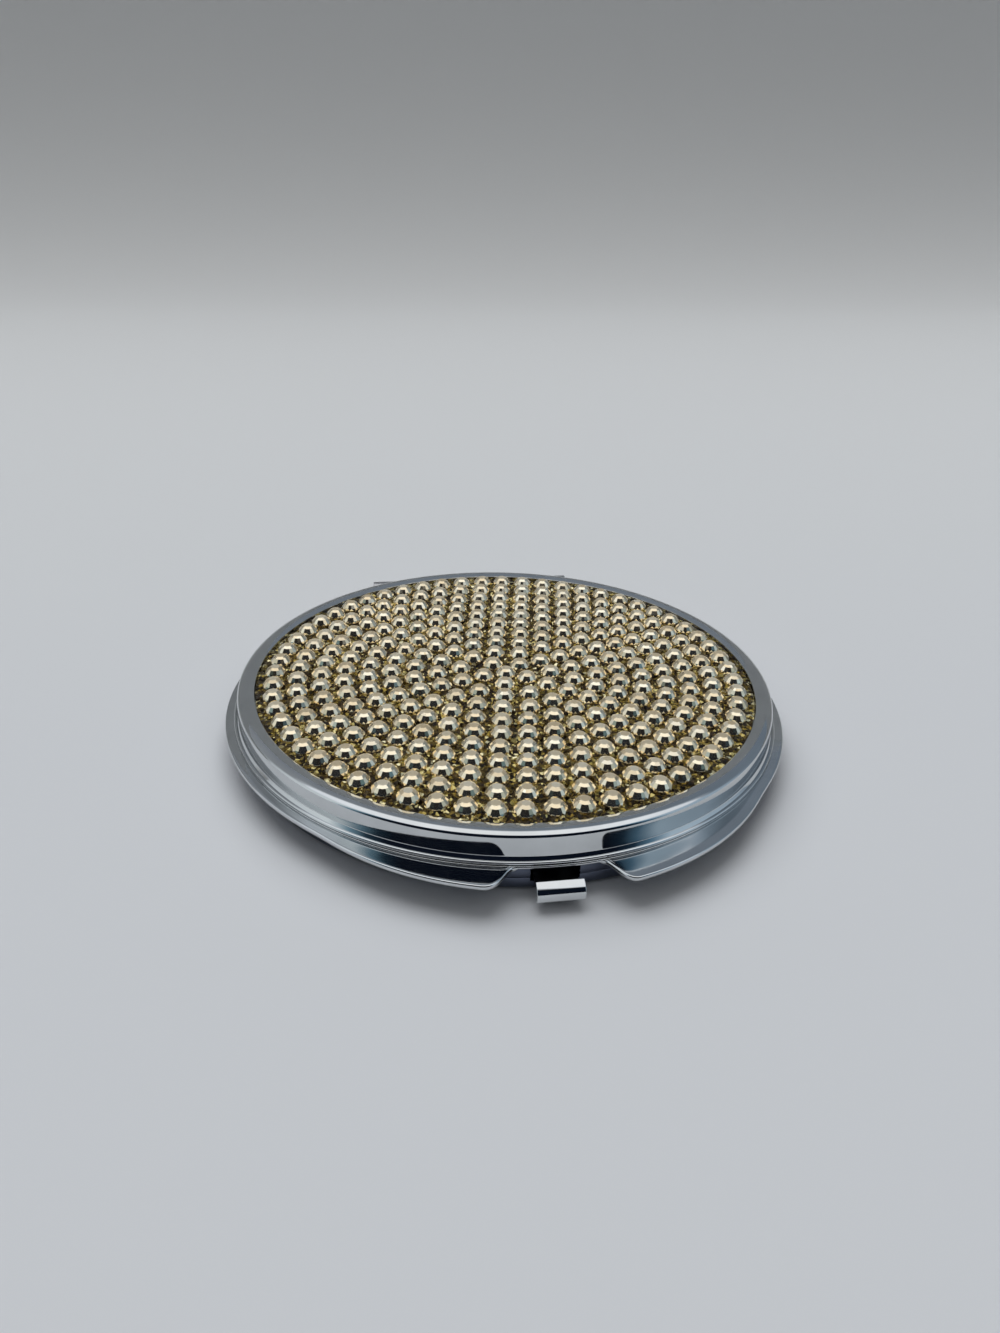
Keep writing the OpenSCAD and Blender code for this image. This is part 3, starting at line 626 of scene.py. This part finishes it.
def rim_column(c, s, edge=None, way=None, lip_z=SKIRT_Z, clamp=None):
    """One closed section of the rim ring: wall, bead, skirt or ear, and rolled lip.
    c and s give the radial direction, edge the plan point of the lip's outside and way
    the direction that it faces. Without an edge the bead closes on itself."""
    pts = [(RIM_IN, z) for z in (SEAM_Z, 2.4, 3.0, 3.6, BASE_Z - 0.08)]
    pts += [(RIM_IN + 0.08, BASE_Z), (33.3, BASE_Z), (33.7, BASE_Z)]
    pts += arc(BEAD_C, BASE_Z - BEAD_R, BEAD_R, 90, 48.6, 6)
    section = [((c * r, s * r), z) for r, z in pts]
    steps, roll_n, under_n, flat = 6, 18, 5, 0.45
    if edge is None:
        more = arc(BEAD_C, BASE_Z - BEAD_R, BEAD_R, 48.6, -90, steps + roll_n + under_n)
        section += [((c * r, s * r), z) for r, z in more[1:]]
    else:
        start = section[-1]
        mid = (edge[0] - LIP_R * way[0], edge[1] - LIP_R * way[1])
        for i in range(1, steps):
            t = i / steps
            section.append(((start[0][0] + (mid[0] - start[0][0]) * t,
                              start[0][1] + (mid[1] - start[0][1]) * t),
                             start[1] + (lip_z + LIP_R - start[1]) * t))
        for i in range(roll_n + 1):
            a = math.radians(90 - 270 * i / roll_n)
            # The roll is pressed flat on its outside
            out = LIP_R * math.copysign(abs(math.cos(a)) ** flat, math.cos(a))
            section.append(((mid[0] + out * way[0], mid[1] + out * way[1]),
                             lip_z + LIP_R * math.sin(a)))
        end = section[-1]
        root = (c * BEAD_C, s * BEAD_C)
        for i in range(1, under_n + 1):
            t = i / under_n
            section.append(((end[0][0] + (root[0] - end[0][0]) * t,
                              end[0][1] + (root[1] - end[0][1]) * t), lip_z))
    tail = [(BEAD_C - BEAD_R, BEAD_UNDER), (BASE_R + 0.1, BEAD_UNDER),
            (BASE_R, BEAD_UNDER - 0.1), (BASE_R, 3.0), (BASE_R, 2.4),
            (BASE_R, SEAM_Z + SEAM_R), (BASE_R - SEAM_R * 0.3, SEAM_Z + SEAM_R * 0.3),
            (BASE_R - SEAM_R, SEAM_Z)]
    section += [((c * r, s * r), z) for r, z in tail]
    loop = []
    for (x, y), z in section:
        if clamp:
            r = math.hypot(x, y)
            k = min(1.0, clamp / r)
            x, y = x * k, y * k
        loop.append((x, y, z))
    return loop


def hermite(t, p0, m0, p1, m1):
    """Point and direction at t on the curve from p0 to p1 with the tangents m0 and m1."""
    at = (2 * t ** 3 - 3 * t ** 2 + 1, t ** 3 - 2 * t ** 2 + t,
          3 * t ** 2 - 2 * t ** 3, t ** 3 - t ** 2)
    way = (6 * t * t - 6 * t, 3 * t * t - 4 * t + 1, 6 * t - 6 * t * t, 3 * t * t - 2 * t)
    return [[sum(w * v[k] for w, v in zip(ws, (p0, m0, p1, m1))) for k in (0, 1)]
            for ws in (at, way)]


def radial(phi):
    """Radial direction at phi from the front."""
    return math.sin(phi), -math.cos(phi)


def rim_side(root_x, end_x, grow):
    """The rim's sections from the middle of the front round to the middle of the back."""
    front_n, side_n, ear_n, back_n = 12, 36, 200, 40
    half = []
    y0 = math.sqrt((BEAD_C + BEAD_R) ** 2 - root_x ** 2)
    y1 = EAR_SHIFT + math.sqrt(EAR_R ** 2 - end_x ** 2) + grow
    phi0, phi1 = math.atan2(root_x, y0), math.atan2(end_x, y1)
    for i in range(front_n):
        half.append(rim_column(*radial(phi0 * (i / front_n) * 0.995)))
    # The side of the gap sweeps out of the bead and runs on into the ear's own circle
    span, slope = end_x - root_x, end_x / (y1 - EAR_SHIFT)
    leave, reach = span * 0.8, span * 1.7
    for i in range(side_n + 1):
        (x, y), (tx, ty) = hermite(i / side_n, (root_x, -y0), (leave, 0.0), (end_x, -y1),
                                   (reach, slope * reach))
        length = math.hypot(tx, ty)
        half.append(rim_column(*radial(math.atan2(x, -y)), (x, y),
                               (ty / length, -tx / length), EAR_Z))
    # Then the ear and the skirt, up to the hinge's cut
    last = math.asin((HINGE_HALF + GAP) / BASE_R)
    apart, d = 0.006, 0.002
    a0, a1 = phi1 + apart, math.pi - last - apart
    for i in range(ear_n + 1):
        phi = a0 + (a1 - a0) * (i / ear_n)
        r, w = ear_edge(phi, grow)
        p, q = ear_edge(phi - d, grow)[0], ear_edge(phi + d, grow)[0]
        tx = q * math.sin(phi + d) - p * math.sin(phi - d)
        ty = p * math.cos(phi - d) - q * math.cos(phi + d)
        length = math.hypot(tx, ty)
        c, s = radial(phi)
        half.append(rim_column(c, s, (r * c, r * s), (ty / length, -tx / length),
                               SKIRT_Z + (EAR_Z - SKIRT_Z) * w))
    for clamp in (None, BASE_R):
        flat = rim_column(0.0, 1.0, (0.0, SKIRT_R), (0.0, 1.0), SKIRT_Z, clamp)
        half.append([(*cut_point(y, HINGE_HALF + GAP), z) for x, y, z in flat])
    for i in range(1, back_n + 1):
        c, s = radial(math.pi - last + last * i / back_n)
        half.append(rim_column(c, s, (SKIRT_R * c, SKIRT_R * s), (c, s), SKIRT_Z, BASE_R))
    return half


def make_rim():
    right, left = rim_side(*EAR_RIGHT), rim_side(*EAR_LEFT)
    loops = right + [[(-x, y, z) for x, y, z in loop] for loop in reversed(left[1:-1])]
    ob = solid("rim_ring", *loft(loops))
    slot = [(-SLOT_HALF, 1.0), (SLOT_HALF, 1.0)]
    slot += arc(SLOT_HALF - SLOT_R, SLOT_TOP - SLOT_R, SLOT_R, 0, 90, 8)
    slot += arc(SLOT_R - SLOT_HALF, SLOT_TOP - SLOT_R, SLOT_R, 90, 180, 8)
    cut(ob, prism("slot", slot, "y", -WALL_OUT, -WALL_IN), web_slit(BASE_WEB_Z))
    place(ob, "base", "base_rim", RIM_CHROME)
    # The wall under the bead gets the dark navy chrome: painted shade, for the compact's shadow
    # that this wall lies in and reflects
    wall_r, wall_z = 33.75 * MM, 3.5 * MM
    second_material(ob, PAINTED_SHADE_CHROME, lambda f: f.center.z < wall_z
                    and math.hypot(f.center.x, f.center.y) < wall_r)


# Hinge

def make_leaf(name, first, web_z, up, wall, other_end):
    """A leaf cut from sheet: flange inside the wall, web, and knuckles rolled on it. up is
    1 when the sheet runs into the top of its knuckles and -1 when into the bottom."""
    web = back_arc(wall - SHEET, HINGE_HALF)
    web += [(HINGE_HALF, LEAF_EDGE), (-HINGE_HALF, LEAF_EDGE)]
    parts = [prism("web", web, "z", web_z, web_z + SHEET)]
    z0, z1 = sorted((web_z + SHEET / 2, other_end))
    parts.append(prism("flange", sector(wall - SHEET, wall, HINGE_HALF), "z", z0, z1))
    tangent = HINGE_Z + up * KNUCKLE_R
    # The sheet is rolled through this many degrees, measured outside and inside
    turn_out, turn_in, n = 310, 318, 36
    for i in range(first, 5, 2):
        x0 = -HINGE_HALF + i * PITCH + GAP / 2
        outline = [(LEAF_EDGE - SHEET, tangent), (34.6, tangent)]
        outline += [(HINGE_Y + KNUCKLE_R * math.sin(a), HINGE_Z + up * KNUCKLE_R * math.cos(a))
                    for a in [math.radians(turn_out * j / n) for j in range(n + 1)]]
        outline += [(HINGE_Y + BORE_R * math.sin(a), HINGE_Z + up * BORE_R * math.cos(a))
                    for a in [math.radians(turn_in * (n - j) / n) for j in range(n + 1)]]
        outline += [(34.9, HINGE_Z + up * BORE_R), (LEAF_EDGE - SHEET, tangent - up * SHEET)]
        knuckle = prism("knuckle", outline, "x", x0, x0 + PITCH - GAP)
        parts.append(bevel(knuckle, 0.06, 2))
    return join(name, parts)


def make_hinge():
    place(make_leaf("lid_leaf", 1, LID_WEB_Z, 1, LID_IN - FIT, 6.7), "lid",
          "lid_hinge_leaf", STEEL)
    place(make_leaf("base_leaf", 0, BASE_WEB_Z, -1, RIM_IN - FIT, 1.9), "base",
          "base_hinge_leaf", STEEL)
    # The pin's ends are rounded
    half, n = HINGE_HALF - GAP / 2, 48
    rows = [(-half, 0.0), (-half + 0.02, 0.3), (-half + 0.1, 0.52), (-half + 0.25, PIN_R),
            (half - 0.25, PIN_R), (half - 0.1, 0.52), (half - 0.02, 0.3), (half, 0.0)]
    verts, faces = [], []
    for x, r in rows:
        for j in range(n):
            a = 2 * math.pi * j / n
            verts.append((x, HINGE_Y + r * math.cos(a), HINGE_Z + r * math.sin(a)))
    for k in range(len(rows) - 1):
        faces += [(k * n + j, k * n + (j + 1) % n, (k + 1) * n + (j + 1) % n, (k + 1) * n + j)
                  for j in range(n)]
    place(solid("pin", verts, faces), "base", "hinge_pin", PIN_STEEL)


# Button and catch

def make_button():
    # The bar's top slopes a little to the front in a flat arc before its round edge
    top, crown_r, edge_r, foot_r, turn = (-BAR_BACK + 0.437, BAR_Z - 0.154), 2.1, 1.0, 0.3, 128
    bar = [(-BAR_BACK, BAR_Z)] + arc(top[0], top[1], crown_r, 102, turn, 8)
    out = crown_r - edge_r
    bar += arc(top[0] + out * math.cos(math.radians(turn)),
               top[1] + out * math.sin(math.radians(turn)), edge_r, turn, 180, 12)[1:]
    bar += arc(-BAR_FRONT + 0.06 + foot_r, BAR_Z + foot_r, foot_r, 180, 270, 8)
    bar = bevel(prism("bar", bar, "x", -BAR_HALF, BAR_HALF), 0.2, 4)
    slide_top, edge = SLIDE_Z + SLIDE_T, 0.06
    neck = bevel(box(-NECK_HALF, NECK_HALF, -BAR_BACK - 0.3, -SLOT_FRONT, SLIDE_Z, slide_top),
                 edge, 2)
    plate = box(-SLIDE_HALF, SLIDE_HALF, -SLIDE_FRONT, -SLIDE_BACK, SLIDE_Z, slide_top)
    cut(plate, box(-WINDOW_HALF, WINDOW_HALF, -SLOT_FRONT, -LATCH, 0, 5))
    bevel(plate, edge, 2)
    tail = bevel(box(-TAIL_HALF, TAIL_HALF, -SLIDE_BACK - 0.5, -SLIDE_BACK, NOSE_Z, slide_top),
                 edge, 2)
    # The peg that the spring sits on
    mid = PEG_LOW + (BASE_MIRROR_Z - PEG_LOW) / 2
    peg = [(PEG_R * math.cos(math.pi * j / 12), mid + PEG_R * math.sin(math.pi * j / 12))
           for j in range(24)]
    peg = bevel(prism("peg", peg, "y", -SLIDE_BACK - 0.25, -SLIDE_BACK + 0.8), 0.04, 2)
    ob = join("button", [bar, neck, plate, tail, peg])
    place(ob, "button", "push_button", CHROME)
    # Only the bar is bright chrome; the slide behind it gets the near-black steel, painted
    # shade for its place in shadow behind the bar
    second_material(ob, PAINTED_SHADE_STEEL, lambda f: f.center.y > -(BAR_BACK - 0.02) * MM)


def make_catch():
    hook = [(-STEM_FRONT, LID_UNDER), (-STEM_FRONT, NOSE_Z + HOOK_R)]
    hook += arc(-STEM_FRONT + HOOK_R, NOSE_Z + HOOK_R, HOOK_R, 180, 270, 6)[1:]
    hook += [(-NOSE_TIP, NOSE_Z), (-NOSE_TIP, NOSE_Z + NOSE_T - 0.1),
             (-NOSE_TIP - 0.15, NOSE_Z + NOSE_T), (-STEM_BACK, NOSE_Z + NOSE_T),
             (-STEM_BACK, LID_UNDER)]
    stem = bevel(prism("stem", hook, "x", -STEM_HALF, STEM_HALF), 0.05, 2)
    foot = bevel(box(-FOOT_HALF, FOOT_HALF, -FOOT_FRONT, -FOOT_BACK, LID_UNDER - SHEET,
                     LID_UNDER), 0.05, 2)
    place(join("catch", [stem, foot]), "lid", "lid_catch", CHROME)


# Camera and stage

def make_camera():
    """The camera that was fitted to the photo: its focal length and the photo's height in
    pixels, its three axes and its place in millimetres."""
    focal, height = 1002.0, 1333.0
    cam = bpy.data.cameras.new("camera")
    cam.sensor_width = 36.0
    cam.lens = focal * cam.sensor_width / height
    cam.clip_start, cam.clip_end = 0.005, 10.0
    ob = bpy.data.objects.new("camera", cam)
    bpy.context.scene.collection.objects.link(ob)
    right = Vector((0.98798011, -0.15211256, 0.02751509))
    up = Vector((0.04799822, 0.47107367, 0.88078701))
    back = Vector((-0.1469404, -0.86887937, 0.47271255))
    m = Matrix((right, up, back)).transposed().to_4x4()
    m.translation = Vector((-19.595, -111.37877, 68.88106)) * MM
    ob.matrix_world = m
    bpy.context.scene.camera = ob


def math_node(nt, operation, a, b=None, c=None):
    """A math node on numbers or on the outputs of other nodes."""
    n = nt.nodes.new("ShaderNodeMath")
    n.operation = operation
    for socket, value in zip(n.inputs, (a, b, c)):
        if value is None:
            continue
        if isinstance(value, float):
            socket.default_value = value
        else:
            nt.links.new(value, socket)
    return n.outputs["Value"]


def make_world():
    """A studio with a soft light overhead and a dark side behind the camera."""
    # Plan direction of the camera's side
    side_x, side_y = -0.1736, -0.9848
    w = bpy.data.worlds.new("studio")
    bpy.context.scene.world = w
    w.use_nodes = True
    nt = w.node_tree
    bg = nt.nodes["Background"]
    tc = nt.nodes.new("ShaderNodeTexCoord")
    sep = nt.nodes.new("ShaderNodeSeparateXYZ")
    nt.links.new(tc.outputs["Generated"], sep.inputs["Vector"])
    x, y, z = sep.outputs
    flat = math_node(nt, "SQRT", math_node(nt, "ADD", math_node(nt, "MULTIPLY", x, x),
                                          math_node(nt, "MULTIPLY", y, y)))
    flat = math_node(nt, "MAXIMUM", flat, 0.0001)
    # 1 towards the camera's side, -1 towards the far side
    facing = math_node(nt, "DIVIDE", math_node(
        nt, "ADD", math_node(nt, "MULTIPLY", x, side_x),
        math_node(nt, "MULTIPLY", y, side_y)), flat)
    # The light's edge is 38 degrees up at the flanks, and 66 at the camera's and far sides
    lift = math_node(nt, "MULTIPLY", math_node(nt, "ABSOLUTE", facing), -0.3)
    lit = ramp(nt, math_node(nt, "ADD", z, lift), [(0.56, grey(0.0)), (0.61, grey(0.25)),
                                                  (0.65, grey(1.0))])
    # Below it the camera's side is nearly black, the flanks are pale and the far side grey
    low = ramp(nt, math_node(nt, "MULTIPLY_ADD", facing, 0.5, 0.5), [
        (0.0, (0.3, 0.31, 0.33)), (0.3, (0.3, 0.32, 0.34)), (0.46, (0.66, 0.7, 0.73)),
        (0.69, (0.78, 0.84, 0.86)), (0.76, (0.16, 0.27, 0.34)), (0.81, (0.02, 0.04, 0.06)),
        (0.86, (0.006, 0.009, 0.017))])
    # The right flank is bluer and dimmer than the left one
    side = ramp(nt, math_node(nt, "MULTIPLY_ADD", x, 0.5, 0.5), [
        (0.2, (1.0, 1.0, 1.0)), (0.75, (0.6, 0.7, 0.8))])
    tint = nt.nodes.new("ShaderNodeMix")
    tint.data_type, tint.blend_type = "RGBA", "MULTIPLY"
    tint.inputs["Factor"].default_value = 1.0
    nt.links.new(low, tint.inputs["A"])
    nt.links.new(side, tint.inputs["B"])
    high = ramp(nt, z, [(0.6, (0.8, 0.86, 0.94)), (0.9, (1.1, 1.12, 1.15)),
                        (1.0, (1.1, 1.1, 1.1))])
    mix = nt.nodes.new("ShaderNodeMix")
    mix.data_type = "RGBA"
    nt.links.new(lit, mix.inputs["Factor"])
    nt.links.new(tint.outputs["Result"], mix.inputs["A"])
    nt.links.new(high, mix.inputs["B"])
    nt.links.new(mix.outputs["Result"], bg.inputs["Color"])
    # The lamps alone light the paper, so that the compact's shadow is deep
    w.cycles_visibility.diffuse = False


def make_light(name, energy, angle, tip):
    """A wide soft lamp, which the chrome doesn't show."""
    lamp = bpy.data.lights.new(name, "SUN")
    lamp.energy, lamp.angle = energy, math.radians(angle)
    ob = bpy.data.objects.new(name, lamp)
    bpy.context.scene.collection.objects.link(ob)
    ob.rotation_euler = (math.radians(tip), math.radians(-4), 0)
    ob.visible_glossy = False


def make_stage():
    """A pale paper floor that sweeps up behind the compact, sizes in metres."""
    front, back, bend_r, top, half_width, n = -1.2, 0.32, 0.25, 0.4, 1.5, 40
    prof = [(front, 0.0), (back, 0.0)]
    for i in range(1, n + 1):
        a = math.radians(90.0 * i / n)
        prof.append((back + bend_r * math.sin(a), bend_r - bend_r * math.cos(a)))
    prof.append((back + bend_r, top))
    verts = [(x, y, z) for x in (-half_width, half_width) for y, z in prof]
    m = len(prof)
    faces = [(i, i + 1, m + i + 1, m + i) for i in range(m - 1)]
    me = bpy.data.meshes.new("floor")
    me.from_pydata(verts, [], faces)
    for f in me.polygons:
        f.use_smooth = True
    ob = add_object("floor", me)
    mat, nt, bsdf = material("pale_paper")
    tc = nt.nodes.new("ShaderNodeTexCoord")
    sep = nt.nodes.new("ShaderNodeSeparateXYZ")
    nt.links.new(tc.outputs["Object"], sep.inputs["Vector"])
    # The paper is painted lighter from the compact back up the sweep: painted light, standing
    # in for the light that falls on the backdrop
    nt.links.new(ramp(nt, sep.outputs["Y"], [
        (0.0, (0.73, 0.76, 0.80)), (0.06, (0.75, 0.78, 0.81)), (0.4, (0.86, 0.88, 0.89))]),
        bsdf.inputs["Base Color"])
    bsdf.inputs["Roughness"].default_value = 0.9
    bsdf.inputs["Specular IOR Level"].default_value = 0.1
    me.materials.append(mat)


make_camera()
make_world()
make_light("behind", 1.7, 60, -28)
make_light("overhead", 0.75, 110, 8)
make_stage()
bpy.context.scene.view_settings.view_transform = "Standard"

make_lid()
make_panel()
make_stones()
make_mirrors()
make_frames()
make_pan()
make_rim()
make_hinge()
make_button()
make_catch()

for node, mat in (("inlay_adhesive", FILM), ("lid_mirror_pad", FOAM),
                  ("base_mirror_pad", FOAM), ("button_guide", STEEL), ("button_spring", STEEL)):
    dress(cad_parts[node], mat)
